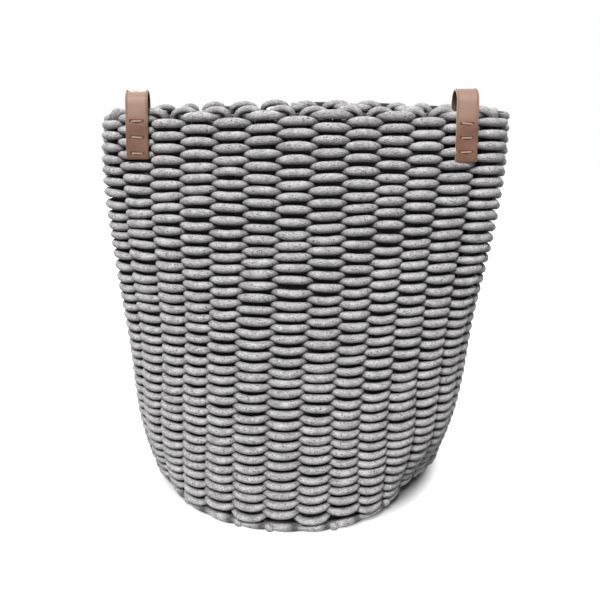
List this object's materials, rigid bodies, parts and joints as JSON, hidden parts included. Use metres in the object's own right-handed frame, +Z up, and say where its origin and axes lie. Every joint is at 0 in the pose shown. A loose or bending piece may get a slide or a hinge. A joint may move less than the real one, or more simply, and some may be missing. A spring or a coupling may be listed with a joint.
{
  "type": "laundry basket",
  "caption": "Tall soft laundry basket woven from thick cotton cord, with a scalloped mouth and two small leather strap loops sewn over the rim.",
  "frame": {"origin": "on the floor, under the middle of the basket's box", "axes": "+Z up, -Y the pictured front, +X to the right along the wide mouth"},
  "size_m": [0.5074, 0.3422, 0.5173],
  "materials": {
    "cotton_cord": "matte",
    "leather": "satin",
    "thread": "matte"
  },
  "bodies": {
    "root": {"woven_wall": "cotton_cord", "edge_cord": "cotton_cord", "woven_base": "cotton_cord", "stake_loop_01": "cotton_cord", "stake_loop_02": "cotton_cord", "stake_loop_03": "cotton_cord", "stake_loop_04": "cotton_cord", "stake_loop_05": "cotton_cord", "stake_loop_06": "cotton_cord", "stake_loop_07": "cotton_cord", "stake_loop_08": "cotton_cord", "stake_loop_09": "cotton_cord", "stake_loop_10": "cotton_cord", "stake_loop_11": "cotton_cord", "stake_loop_12": "cotton_cord", "stake_loop_13": "cotton_cord", "stake_loop_14": "cotton_cord", "stake_loop_15": "cotton_cord", "stake_loop_16": "cotton_cord", "stake_loop_17": "cotton_cord", "stake_loop_18": "cotton_cord", "stake_loop_19": "cotton_cord", "stake_loop_20": "cotton_cord", "stake_loop_21": "cotton_cord", "stake_loop_22": "cotton_cord", "stake_loop_23": "cotton_cord", "stake_loop_24": "cotton_cord", "stake_loop_25": "cotton_cord", "stake_loop_26": "cotton_cord", "stake_loop_27": "cotton_cord", "left_handle": "leather", "right_handle": "leather", "left_handle_stitch_1": "thread", "left_handle_stitch_2": "thread", "left_handle_stitch_3": "thread", "right_handle_stitch_1": "thread", "right_handle_stitch_2": "thread", "right_handle_stitch_3": "thread"}
  },
  "joints": []
}
